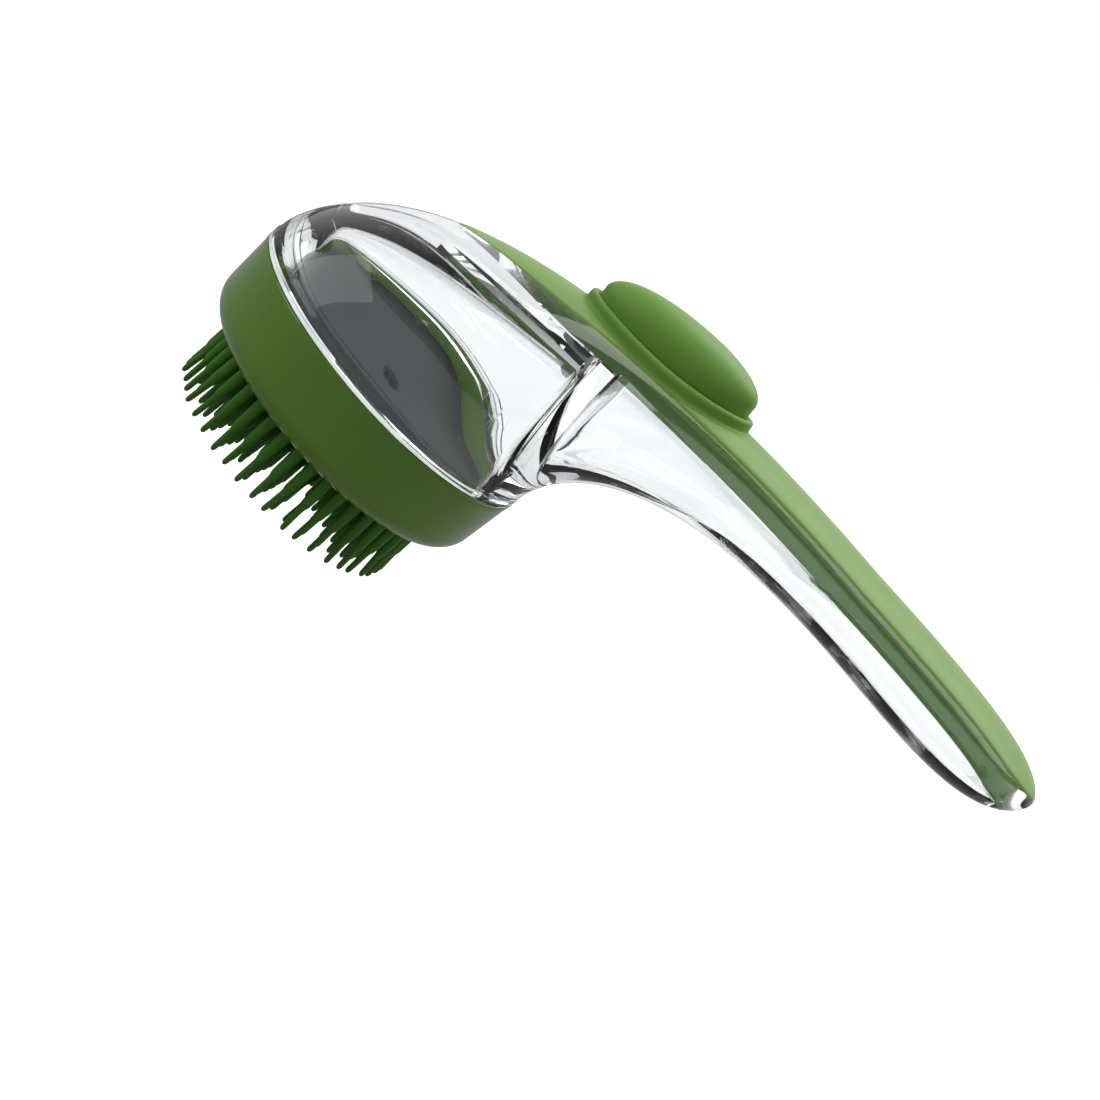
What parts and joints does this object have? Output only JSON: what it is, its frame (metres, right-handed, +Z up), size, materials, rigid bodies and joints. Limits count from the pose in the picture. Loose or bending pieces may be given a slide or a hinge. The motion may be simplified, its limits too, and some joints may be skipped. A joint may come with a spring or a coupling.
{
  "type": "shampoo dispensing bath brush",
  "caption": "Handheld pet bath brush with a clear reservoir head, soft bristle pad in a screw-on collar, and a thumb pump button on the handle.",
  "frame": {"origin": "centre of the footprint on the plane of the bristle tips", "axes": "+X runs from the head to the handle's end, +Z up from the bristles to the button, +Y across"},
  "size_m": [0.1658, 0.066, 0.0782],
  "materials": {
    "clear_shell": "polished clear plastic",
    "cover_green": "gloss",
    "grip_green": "satin",
    "button_green": "satin",
    "collar_green": "gloss",
    "bristle_green": "soft satin",
    "floor_grey": "matte",
    "pump_white": "matte",
    "seal_grey": "matte",
    "valve_silicone": "translucent",
    "spring_steel": "drawn wire"
  },
  "bodies": {
    "handle": {"clear_body": "clear_shell", "handle_cover": "cover_green", "grip_strip": "grip_green", "button_flange": "button_green", "pump_cup": "pump_white", "inlet_flap": "valve_silicone", "air_duct": "pump_white", "duct_grommet": "seal_grey", "duckbill_valve": "valve_silicone", "return_spring": "spring_steel"},
    "button": {"button_dome": "button_green", "plunger": "pump_white", "piston_seal": "seal_grey"},
    "floor_unit": {"floor_plate": "floor_grey", "mouth_seal": "seal_grey", "dispense_valve": "valve_silicone", "valve_retainer": "pump_white"},
    "collar_unit": {"collar": "collar_green", "pad_backing": "floor_grey", "bristle_pad": "bristle_green", "bristles_inner": "bristle_green", "bristles_middle": "bristle_green", "bristles_outer": "bristle_green"}
  },
  "joints": [
    {"name": "button_press", "type": "slide", "parent": "handle", "child": "button", "axis": [0.1891, 0, -0.982], "range_m": [0, 0.0026], "stiffness_N_per_m": 500, "springref_m": -0.002, "deforming": ["return_spring"]},
    {"name": "collar_drop", "type": "slide", "parent": "handle", "child": "floor_unit", "axis": [0, 0, -1], "range_m": [0, 0.003]},
    {"name": "collar_turn", "type": "hinge", "parent": "floor_unit", "child": "collar_unit", "pos_m": [-0.04995, 0, 0], "axis": [0, 0, -1], "range_deg": [0, 120]}
  ],
  "couplings": [
    {"joint": "collar_drop", "follows": "collar_turn", "m_per_rad": 0.0014324}
  ]
}
